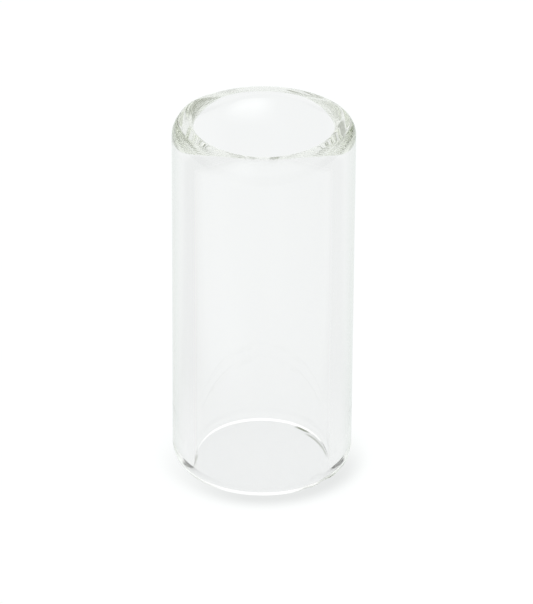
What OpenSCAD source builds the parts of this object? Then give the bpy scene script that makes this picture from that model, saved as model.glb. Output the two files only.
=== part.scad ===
// Glass guitar slide: one length of heavy-wall tube with fire-polished ends.
// The tube stands on one end at z = 0, with the bore along +Z.

/* [Tube] */
// Diameter of the finger bore
bore_d = 22; // [16:0.5:26]
// Thickness of the wall
wall = 3.5; // [3.4:0.1:5]
// Length from end to end
tube_length = 60; // [28:1:75]

/* [Fire-polished ends] */
// Radius that melting leaves on the outer corner of each end
outer_corner_r = 1.6; // [0.2:0.1:1.6]
// Radius that melting leaves on the bore's corner of each end
bore_corner_r = 1.7; // [0.2:0.1:1.7]

/* [Hidden] */
$fn = 128;
bore_r = bore_d / 2;
outer_r = bore_r + wall;
glass_colour = [0.90, 0.94, 0.92, 0.35];

// A disc of radius r in the profile, at a distance x from the axis and a height z
module corner_disc(r, x, z) {
    translate([x, z]) circle(r = r);
}

// Half of the wall's cross-section, from the base up to the tube's middle
module half_wall_profile() {
    half = tube_length / 2;
    union() {
        // the barrel's side, above its rounding
        translate([bore_r + bore_corner_r, outer_corner_r])
            square([wall - bore_corner_r, half - outer_corner_r]);
        // the narrow flat ring that the tube stands on, between the two roundings
        translate([bore_r + bore_corner_r, 0])
            square([wall - bore_corner_r - outer_corner_r, half]);
        // the bore's side, above its rounding
        translate([bore_r, bore_corner_r])
            square([wall - outer_corner_r, half - bore_corner_r]);
        corner_disc(outer_corner_r, outer_r - outer_corner_r, outer_corner_r);
        corner_disc(bore_corner_r, bore_r + bore_corner_r, bore_corner_r);
    }
}

// The whole wall's cross-section: the lower half and its mirror image above the middle
module wall_profile() {
    half_wall_profile();
    translate([0, tube_length]) mirror([0, 1]) half_wall_profile();
}

module glass_tube() {
    color(glass_colour) rotate_extrude() wall_profile();
}

glass_tube();
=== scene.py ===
"""The looks of a clear glass guitar slide: fire-polished glass, white floor, studio light and camera."""

import math

import bmesh
import bpy
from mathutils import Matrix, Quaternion, Vector


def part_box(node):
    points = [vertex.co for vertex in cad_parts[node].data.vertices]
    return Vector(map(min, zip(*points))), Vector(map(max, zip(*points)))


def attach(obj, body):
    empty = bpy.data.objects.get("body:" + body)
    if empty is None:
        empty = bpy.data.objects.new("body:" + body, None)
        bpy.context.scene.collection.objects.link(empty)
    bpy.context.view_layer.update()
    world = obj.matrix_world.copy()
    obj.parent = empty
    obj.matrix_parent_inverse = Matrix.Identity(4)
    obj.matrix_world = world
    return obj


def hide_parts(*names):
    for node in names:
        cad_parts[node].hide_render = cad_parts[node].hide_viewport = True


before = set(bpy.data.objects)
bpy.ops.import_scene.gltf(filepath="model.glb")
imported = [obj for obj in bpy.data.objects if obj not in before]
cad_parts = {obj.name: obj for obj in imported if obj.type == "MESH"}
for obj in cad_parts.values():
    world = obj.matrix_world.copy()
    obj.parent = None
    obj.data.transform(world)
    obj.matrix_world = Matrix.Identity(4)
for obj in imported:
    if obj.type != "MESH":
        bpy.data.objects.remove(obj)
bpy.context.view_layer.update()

MM = 0.001
CAD_NODE = "glass_tube"

# The tube, in millimetres; the outside and the length come from the CAD box
WALL = 3.5
LEAST_FLAT = 0.05
AROUND = 288
ROUNDING_STEPS = 18
WALL_STEPS = 48

# The rim's roundings, in millimetres, with what is added at the front and in the middle of the front.
# Melted places are humps: direction and spread in degrees, then height. A swell is the amount that one side
# of the tube has more than the mean, and the direction of that side.
RIM_BORE_SIDE = 0.45
RIM_BORE_SIDE_FRONT = 0.6
RIM_BORE_SIDE_MELTED = ((145.0, 34.0, 1.95), (30.0, 38.0, 1.4))
RIM_ACROSS = 1.5
RIM_ACROSS_FRONT = 0.6
RIM_ACROSS_MIDDLE = 0.9
RIM_ALONG = 2.2
RIM_ALONG_SWELL = (0.1, 200.0)
RIM_ALONG_FRONT = 2.0

# How steeply the rim's front slopes down outwards: over the whole front, and more in the middle of it;
# and how deep below the rim that reaches
BROAD_FALL = 0.15
NARROW_FALL = 0.35
FALL_DEPTH = 9.0

# The foot's roundings: a broad melted place at the left, and two small ones at the right front
FOOT_BORE_SIDE = 1.45
FOOT_BORE_SIDE_SWELL = (0.4, 90.0)
FOOT_ACROSS = 1.5
FOOT_ALONG = 3.0
FOOT_MELTED = ((212.0, 25.0, 0.3), (302.0, 4.0, 0.6), (318.0, 6.0, 1.0))

# Clear borosilicate, and the scales of the marks on it, in noise cells per metre
REFRACTION = 1.473
LONG_PATH_GREEN = (0.86, 0.90, 0.79, 1.0)
GREEN_DENSITY = 4.2
DRAW_LINES_SCALE = (900.0, 900.0, 12.0)
DRAW_LINES_SHARE = 0.35
RIPPLE_SCALE = 420.0
RIPPLE_SHARE = 0.65
HAZE_SCALE = 90.0
MOST_HAZE = 0.012
# The grey of the painted shade on the tube's outer edges, where the glass is seen at a grazing angle
EDGE_SHADE_GREY = (0.80, 0.85, 0.81, 1.0)
WHITE = (1.0, 1.0, 1.0, 1.0)

# The floor's glow as the glass sees it: close by and far off, and what is added or lost to the sides
GLOW_NEAR = 0.908
GLOW_FAR = 0.919
LEFT_BRIGHTER = 0.025
LEFT_DIMMER = 0.07
RIGHT_DIMMER = 0.05
PATCH_BRIGHTER = 0.15
GLOW_SHARE = 0.90
GLOW_COLOUR = (0.984, 1.0, 1.0, 1.0)
# The dark olive of the painted contact shade on the floor under the foot, as the glass sees it
CONTACT_SHADE_COLOUR = (0.12, 0.15, 0.06, 1.0)
MATT_COLOUR = (0.92, 0.92, 0.92, 1.0)

# Dim stretches of the floor under the wall, where the foot sits closest, as the glass sees them:
# direction and half-width in degrees, inner and outer radius in millimetres, share of the light lost
CONTACTS = (
    (5.0, 8.0, 12.8, 14.4, 0.15),
    (24.0, 20.0, 11.15, 11.45, 0.50),
    (27.0, 14.0, 11.5, 14.4, 0.15),
    (52.0, 4.5, 11.8, 12.5, 0.80),
    (141.0, 7.0, 12.8, 14.4, 0.60),
    (164.0, 14.0, 12.8, 14.4, 0.70),
    (187.0, 8.0, 11.0, 12.8, 0.60),
    (187.0, 8.0, 12.8, 14.4, 0.20),
    (225.0, 14.0, 11.0, 12.8, 0.25),
    (225.0, 14.0, 12.8, 14.4, 0.45),
    (312.0, 17.0, 11.0, 12.8, 0.70),
    (312.0, 17.0, 12.8, 14.4, 0.90),
    (336.0, 8.0, 11.0, 12.8, 0.20),
    (336.0, 8.0, 12.8, 14.4, 0.05),
)
CONTACT_SOFTNESS = 5.0
CONTACT_FADE_OUTSIDE = 0.2
CONTACT_FADE_INSIDE = 0.1

# The floor as the camera sees it: a level that comes out as plain white, and the contact shadow's reach,
# depth, and share of that depth behind the tube and at its left
PLAIN_WHITE = 1.02
CAMERA_FLOOR = (0.985, 1.0, 0.996, 1.0)
SHADOW_REACH = 0.0065
SHADOW_DEPTH = 0.213
SHADOW_BEHIND = 0.3
SHADOW_LEFT = 0.45
FLOOR_HALF_WIDTH = 3.0
FLOOR_GAP = 0.00001

# Studio light: its levels, and where its soft edges start and end in degrees
SIDE_LEVEL = 0.18
FRONT_LEVEL = 0.7
BACKDROP_LEVEL = 1.15
OVERHEAD_LEVEL = 1.15
BACKDROP_LEFT = (-45, -35)
BACKDROP_RIGHT = (25, 35)
OVERHEAD_EDGE = (17, 36)
LONGEST_PATH = 128

# Camera: distance and elevation from the tube's centre, the height of the view there, and where it aims
CAMERA_DISTANCE = 0.755
CAMERA_ELEVATION = math.radians(28.0)
CAMERA_ROLL = math.radians(0.38)
VIEW_HEIGHT = 0.0965
AIM_RIGHT = 0.00058
AIM_UP = -0.00166
SENSOR = 36.0


# ---- the mesh -------------------------------------------------------------

def swell(mean, amount, towards, angle):
    """A value that is largest at one side of the tube, as a melted end's rounding is."""
    return mean + amount * math.cos(angle - math.radians(towards))


def melted(angle, humps):
    """The height at an angle of smooth humps round the tube."""
    total = 0.0
    for towards, spread, height in humps:
        off = (math.degrees(angle) - towards + 180.0) % 360.0 - 180.0
        total += height * math.exp(-(off / spread) ** 2)
    return total


def frontness(angle):
    """1 at the front of the tube, falling smoothly to 0 at its sides and all along the back."""
    return max(0.0, -math.sin(angle)) ** 2


def rim_rounding(angle):
    """Radii of the rim's roundings at an angle round the tube: outer across, outer along, bore side."""
    front = frontness(angle)
    bore_side = RIM_BORE_SIDE + RIM_BORE_SIDE_FRONT * front + melted(angle, RIM_BORE_SIDE_MELTED)
    outer_along = swell(RIM_ALONG, *RIM_ALONG_SWELL, angle) + RIM_ALONG_FRONT * front
    outer_across = RIM_ACROSS + RIM_ACROSS_FRONT * front + RIM_ACROSS_MIDDLE * front ** 3
    return min(outer_across, WALL - LEAST_FLAT - bore_side), outer_along, bore_side


def foot_rounding(angle):
    """Radii of the foot's roundings at an angle round the tube, in the same order as the rim's."""
    bore_side = swell(FOOT_BORE_SIDE, *FOOT_BORE_SIDE_SWELL, angle)
    outer_across = FOOT_ACROSS + melted(angle, FOOT_MELTED)
    return min(outer_across, WALL - LEAST_FLAT - bore_side), FOOT_ALONG, bore_side


def quarter(centre, across, along, start, end):
    """A quarter of an ellipse in the wall's section, as (radius, height) pairs."""
    points = []
    for step in range(ROUNDING_STEPS + 1):
        turn = math.radians(start + (end - start) * step / ROUNDING_STEPS)
        points.append((centre[0] + across * math.cos(turn), centre[1] + along * math.sin(turn)))
    return points


def straight(start, end):
    """The points strictly between two points of the section."""
    points = []
    for step in range(1, WALL_STEPS):
        share = step / WALL_STEPS
        points.append((start[0] + (end[0] - start[0]) * share, start[1] + (end[1] - start[1]) * share))
    return points


def slope_rim(outline, bore, length, fall):
    """The outline with its top lowered towards the outside, fading out down the wall."""
    sloped = []
    for radius, height in outline:
        near_rim = max(0.0, 1.0 - (length - height) / FALL_DEPTH)
        sloped.append((radius, height - fall * (radius - bore) * near_rim))
    return sloped


def wall_section(angle, bore, outer, length):
    """The wall's closed outline at an angle: up the outside, over the rim, down the bore, round the foot."""
    foot_across, foot_along, foot_bore = foot_rounding(angle)
    rim_across, rim_along, rim_bore = rim_rounding(angle)
    outline = quarter((outer - foot_across, foot_along), foot_across, foot_along, -90, 0)
    outline += straight((outer, foot_along), (outer, length - rim_along))
    outline += quarter((outer - rim_across, length - rim_along), rim_across, rim_along, 0, 90)
    outline += quarter((bore + rim_bore, length - rim_bore), rim_bore, rim_bore, 90, 180)
    outline += straight((bore, length - rim_bore), (bore, foot_bore))
    outline += quarter((bore + foot_bore, foot_bore), foot_bore, foot_bore, 180, 270)
    fall = BROAD_FALL * frontness(angle) + NARROW_FALL * frontness(angle) ** 4
    return slope_rim(outline, bore, length, fall)


def make_slide(low, high):
    """The slide as one closed mesh, lathed from a section that changes a little round the tube."""
    outer = (high.x - low.x) / 2 / MM
    length = (high.z - low.z) / MM
    bore = outer - WALL
    axis = (low + high) / 2
    mesh = bmesh.new()
    rings = []
    for side in range(AROUND):
        angle = 2 * math.pi * side / AROUND
        ring = []
        for radius, height in wall_section(angle, bore, outer, length):
            x = axis.x + radius * MM * math.cos(angle)
            y = axis.y + radius * MM * math.sin(angle)
            ring.append(mesh.verts.new((x, y, low.z + height * MM)))
        rings.append(ring)
    count = len(rings[0])
    for side in range(AROUND):
        this, following = rings[side], rings[(side + 1) % AROUND]
        for i in range(count):
            j = (i + 1) % count
            face = mesh.faces.new((this[i], following[i], following[j], this[j]))
            face.smooth = True
    bmesh.ops.recalc_face_normals(mesh, faces=mesh.faces)
    data = bpy.data.meshes.new("slide_glass")
    mesh.to_mesh(data)
    mesh.free()
    piece = bpy.data.objects.new("slide_glass", data)
    bpy.context.scene.collection.objects.link(piece)
    return piece


# ---- node helpers ---------------------------------------------------------

def set_input(tree, socket, value):
    """Links a socket to another node's output, or gives it a plain value."""
    if isinstance(value, bpy.types.NodeSocket):
        tree.links.new(value, socket)
    else:
        socket.default_value = value


def calc(tree, operation, *values):
    """The result of one Math node."""
    node = tree.nodes.new("ShaderNodeMath")
    node.operation = operation
    for index, value in enumerate(values):
        set_input(tree, node.inputs[index], value)
    return node.outputs[0]


def ramp(tree, value, start, end, low=0.0, high=1.0):
    """Goes smoothly from low to high as the value goes from start to end."""
    node = tree.nodes.new("ShaderNodeMapRange")
    node.interpolation_type = "SMOOTHSTEP"
    for index, number in enumerate((value, start, end, low, high)):
        set_input(tree, node.inputs[index], number)
    return node.outputs[0]


def blend(tree, low, high, share):
    """low where share is 0 and high where it is 1."""
    return calc(tree, "ADD", low, calc(tree, "MULTIPLY", share, calc(tree, "SUBTRACT", high, low)))


def noise(tree, vector, scale, detail):
    node = tree.nodes.new("ShaderNodeTexNoise")
    node.inputs["Scale"].default_value = scale
    node.inputs["Detail"].default_value = detail
    tree.links.new(vector, node.inputs["Vector"])
    return node.outputs["Fac"]


def stretched(tree, vector, scale):
    """The vector with each axis scaled, so that noise on it is drawn out along the tube."""
    node = tree.nodes.new("ShaderNodeMapping")
    node.inputs["Scale"].default_value = scale
    tree.links.new(vector, node.inputs["Vector"])
    return node.outputs[0]


def split_axes(tree, vector):
    node = tree.nodes.new("ShaderNodeSeparateXYZ")
    tree.links.new(vector, node.inputs[0])
    return node.outputs


def from_axis(tree, x, y):
    """Distance from the upright axis."""
    return calc(tree, "SQRT", calc(tree, "MULTIPLY_ADD", x, x, calc(tree, "MULTIPLY", y, y)))


def is_camera_ray(tree):
    """1 where the camera sees the surface directly, and 0 where it is seen in or through the glass."""
    return tree.nodes.new("ShaderNodeLightPath").outputs["Is Camera Ray"]


def mix_colours(tree, first, second, share):
    """The first colour where share is 0 and the second where it is 1."""
    node = tree.nodes.new("ShaderNodeMix")
    node.data_type = "RGBA"
    node.inputs["A"].default_value = first
    node.inputs["B"].default_value = second
    set_input(tree, node.inputs["Factor"], share)
    return node.outputs["Result"]


def mix_shaders(tree, first, second, share):
    """The first shader where share is 0 and the second where it is 1."""
    node = tree.nodes.new("ShaderNodeMixShader")
    set_input(tree, node.inputs["Fac"], share)
    tree.links.new(first, node.inputs[1])
    tree.links.new(second, node.inputs[2])
    return node.outputs[0]


# ---- the glass ------------------------------------------------------------

def painted_edge_shade(tree, place):
    """Painted shade: where the outside is seen at a grazing angle the glass is tinted a little grey, which
    draws the tube's edges.
    """
    facing = tree.nodes.new("ShaderNodeLayerWeight")
    facing.inputs["Blend"].default_value = 0.5
    x, y, _ = split_axes(tree, place)
    outside = ramp(tree, from_axis(tree, x, y), 0.0130, 0.0142)
    edge = calc(tree, "MULTIPLY", ramp(tree, facing.outputs["Facing"], 0.52, 0.85), outside)
    return mix_colours(tree, WHITE, EDGE_SHADE_GREY, edge)


def surface_ripple(tree, place):
    """Draw lines run along the tube, under a soft ripple left by the melting."""
    lines = noise(tree, stretched(tree, place, DRAW_LINES_SCALE), 1.0, 3.0)
    lines = calc(tree, "MULTIPLY", lines, DRAW_LINES_SHARE)
    ripple = calc(tree, "MULTIPLY", noise(tree, place, RIPPLE_SCALE, 1.0), RIPPLE_SHARE)
    bump = tree.nodes.new("ShaderNodeBump")
    bump.inputs["Strength"].default_value = 0.02
    bump.inputs["Distance"].default_value = 0.0002
    tree.links.new(calc(tree, "ADD", lines, ripple), bump.inputs["Height"])
    return bump.outputs["Normal"]


def make_glass():
    """Clear borosilicate: fine draw lines, the faintest haze from handling, green only on long paths."""
    material = bpy.data.materials.new("clear_glass")
    material.use_nodes = True
    tree = material.node_tree
    shader = tree.nodes["Principled BSDF"]
    shader.inputs["IOR"].default_value = REFRACTION
    shader.inputs["Transmission Weight"].default_value = 1.0
    place = tree.nodes.new("ShaderNodeTexCoord").outputs["Object"]
    tree.links.new(painted_edge_shade(tree, place), shader.inputs["Base Color"])
    tree.links.new(surface_ripple(tree, place), shader.inputs["Normal"])
    haze = ramp(tree, noise(tree, place, HAZE_SCALE, 4.0), 0.55, 0.85, 0.0, MOST_HAZE)
    tree.links.new(haze, shader.inputs["Roughness"])
    absorption = tree.nodes.new("ShaderNodeVolumeAbsorption")
    absorption.inputs["Color"].default_value = LONG_PATH_GREEN
    absorption.inputs["Density"].default_value = GREEN_DENSITY
    tree.links.new(absorption.outputs[0], tree.nodes["Material Output"].inputs["Volume"])
    return material


# ---- the floor ------------------------------------------------------------

def contact_loss(tree, x, y, away):
    """The share of light lost in the dim stretches under the foot."""
    lost = 0.0
    for degrees, half, start, end, loss in CONTACTS:
        turn = math.radians(degrees)
        across = calc(tree, "MULTIPLY", x, math.cos(turn))
        aligned = calc(tree, "DIVIDE", calc(tree, "MULTIPLY_ADD", y, math.sin(turn), across), away)
        widest = math.cos(math.radians(half + CONTACT_SOFTNESS))
        full = math.cos(math.radians(max(0.0, half - CONTACT_SOFTNESS)))
        within = ramp(tree, aligned, widest, full)
        from_bore = ramp(tree, away, (start - CONTACT_FADE_OUTSIDE) * MM, (start + CONTACT_FADE_INSIDE) * MM)
        to_outside = ramp(tree, away, (end + CONTACT_FADE_OUTSIDE) * MM, (end - CONTACT_FADE_INSIDE) * MM)
        within = calc(tree, "MULTIPLY", calc(tree, "MULTIPLY", within, from_bore), to_outside)
        lost = calc(tree, "MULTIPLY_ADD", within, loss, lost)
    return lost


def floor_glow(tree, x, away):
    """How brightly the floor glows for the glass: a little less to the sides, a little more at the left."""
    sideways = calc(tree, "DIVIDE", x, away)
    brighter = calc(tree, "MULTIPLY", ramp(tree, sideways, -0.05, -0.25), ramp(tree, sideways, -0.55, -0.42))
    brighter = calc(tree, "MULTIPLY", brighter, LEFT_BRIGHTER)
    left_dimmer = ramp(tree, sideways, -0.55, -0.78, 0.0, LEFT_DIMMER)
    right_dimmer = ramp(tree, sideways, 0.55, 0.78, 0.0, RIGHT_DIMMER)
    sides = calc(tree, "SUBTRACT", brighter, calc(tree, "ADD", left_dimmer, right_dimmer))
    glow = ramp(tree, away, 0.016, 0.060, GLOW_NEAR, GLOW_FAR)
    return calc(tree, "MULTIPLY_ADD", ramp(tree, away, 0.016, 0.045), sides, glow)


def bright_patch(tree, x, y):
    """1 on a stretch of floor far behind the tube, a little to its left."""
    across = calc(tree, "MULTIPLY", ramp(tree, x, -0.019, -0.009), ramp(tree, x, 0.006, -0.004))
    return calc(tree, "MULTIPLY", across, ramp(tree, y, 0.122, 0.137))


def floor_for_glass(tree, x, y, away):
    """What the glass sees: a glowing floor, dim under the foot, with a brighter patch far behind it."""
    clear = calc(tree, "SUBTRACT", 1.0, contact_loss(tree, x, y, away))
    strength = calc(tree, "MULTIPLY_ADD", bright_patch(tree, x, y), PATCH_BRIGHTER, floor_glow(tree, x, away))
    lit = tree.nodes.new("ShaderNodeEmission")
    tree.links.new(mix_colours(tree, CONTACT_SHADE_COLOUR, GLOW_COLOUR, clear), lit.inputs["Color"])
    tree.links.new(strength, lit.inputs["Strength"])
    matt = tree.nodes.new("ShaderNodeBsdfDiffuse")
    matt.inputs["Color"].default_value = MATT_COLOUR
    return mix_shaders(tree, matt.outputs[0], lit.outputs[0], GLOW_SHARE)


def floor_for_camera(tree, x, y, away):
    """What the camera sees: white, shaded where the foot closes over the floor, most of all in front."""
    closeness = tree.nodes.new("ShaderNodeAmbientOcclusion")
    closeness.samples = 16
    closeness.inputs["Distance"].default_value = SHADOW_REACH
    forward = ramp(tree, calc(tree, "DIVIDE", y, away), 0.4, -0.6, SHADOW_BEHIND, 1.0)
    depth = calc(tree, "MULTIPLY", forward, ramp(tree, x, -0.015, -0.002, SHADOW_LEFT, 1.0))
    shade = calc(tree, "MULTIPLY", ramp(tree, closeness.outputs["AO"], 0.52, 0.88, SHADOW_DEPTH, 0.0), depth)
    white = tree.nodes.new("ShaderNodeEmission")
    white.inputs["Color"].default_value = CAMERA_FLOOR
    tree.links.new(calc(tree, "SUBTRACT", PLAIN_WHITE, shade), white.inputs["Strength"])
    return white.outputs[0]


def make_floor_material():
    """A white light-table floor: plain white to the camera, with a narrow contact shadow round the foot."""
    material = bpy.data.materials.new("white_floor")
    material.use_nodes = True
    tree = material.node_tree
    tree.nodes.remove(tree.nodes["Principled BSDF"])
    place = tree.nodes.new("ShaderNodeTexCoord").outputs["Object"]
    x, y, _ = split_axes(tree, place)
    away = from_axis(tree, x, y)
    in_glass = floor_for_glass(tree, x, y, away)
    direct = floor_for_camera(tree, x, y, away)
    surface = mix_shaders(tree, in_glass, direct, is_camera_ray(tree))
    tree.links.new(surface, tree.nodes["Material Output"].inputs["Surface"])
    return material


def make_floor(low):
    """A wide floor just under the tube's foot."""
    mesh = bmesh.new()
    bmesh.ops.create_grid(mesh, x_segments=8, y_segments=8, size=FLOOR_HALF_WIDTH)
    data = bpy.data.meshes.new("floor")
    mesh.to_mesh(data)
    mesh.free()
    floor = bpy.data.objects.new("floor", data)
    bpy.context.scene.collection.objects.link(floor)
    floor.location.z = low.z - FLOOR_GAP
    data.materials.append(make_floor_material())


# ---- light and camera -----------------------------------------------------

def sine(degrees):
    return math.sin(math.radians(degrees))


def make_world():
    """Soft studio light: a white backdrop behind, a broad light overhead, dark at the sides, dimmer in front.

    Seen directly it is plain white, like the floor."""
    world = bpy.data.worlds.new("studio")
    bpy.context.scene.world = world
    world.use_nodes = True
    tree = world.node_tree
    x, y, z = split_axes(tree, tree.nodes.new("ShaderNodeTexCoord").outputs["Generated"])
    level = from_axis(tree, x, y)
    rightward = calc(tree, "DIVIDE", x, level)
    backward = calc(tree, "DIVIDE", y, level)

    front = ramp(tree, backward, -0.6, -0.2, 1.0, 0.0)
    light = blend(tree, SIDE_LEVEL, FRONT_LEVEL, front)
    left_end = ramp(tree, rightward, *map(sine, BACKDROP_LEFT))
    right_end = ramp(tree, rightward, *map(sine, BACKDROP_RIGHT), 1.0, 0.0)
    behind = ramp(tree, backward, 0.0, 0.1)
    backdrop = calc(tree, "MULTIPLY", calc(tree, "MULTIPLY", left_end, right_end), behind)
    light = blend(tree, light, BACKDROP_LEVEL, backdrop)
    overhead = ramp(tree, z, *map(sine, OVERHEAD_EDGE))
    light = blend(tree, light, OVERHEAD_LEVEL, overhead)
    light = blend(tree, light, PLAIN_WHITE, is_camera_ray(tree))
    background = tree.nodes["Background"]
    background.inputs["Color"].default_value = WHITE
    tree.links.new(light, background.inputs["Strength"])


def make_camera(centre):
    """A long lens, looking down on the tube from the front."""
    back = Vector((0.0, -math.cos(CAMERA_ELEVATION), math.sin(CAMERA_ELEVATION)))
    data = bpy.data.cameras.new("camera")
    data.sensor_width = SENSOR
    data.lens = SENSOR * CAMERA_DISTANCE / VIEW_HEIGHT
    data.clip_start = 0.01
    camera = bpy.data.objects.new("camera", data)
    bpy.context.scene.collection.objects.link(camera)
    camera.location = centre + back * CAMERA_DISTANCE
    level_view = (-back).to_track_quat("-Z", "Y")
    right = level_view @ Vector((1.0, 0.0, 0.0))
    up = level_view @ Vector((0.0, 1.0, 0.0))
    aim = centre + right * AIM_RIGHT + up * AIM_UP
    look = (aim - camera.location).to_track_quat("-Z", "Y")
    camera.rotation_mode = "QUATERNION"
    camera.rotation_quaternion = look @ Quaternion((0.0, 0.0, 1.0), CAMERA_ROLL)
    bpy.context.scene.camera = camera


def set_light_paths():
    """Light runs along the inside of the glass for a long way before it comes out."""
    scene = bpy.context.scene
    scene.view_settings.view_transform = "Standard"
    scene.cycles.max_bounces = LONGEST_PATH
    scene.cycles.transmission_bounces = LONGEST_PATH
    scene.cycles.glossy_bounces = LONGEST_PATH
    scene.cycles.diffuse_bounces = 4


low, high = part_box(CAD_NODE)
slide = make_slide(low, high)
slide.data.materials.append(make_glass())
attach(slide, "root")
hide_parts(CAD_NODE)
make_floor(low)
make_world()
make_camera((low + high) / 2)
set_light_paths()
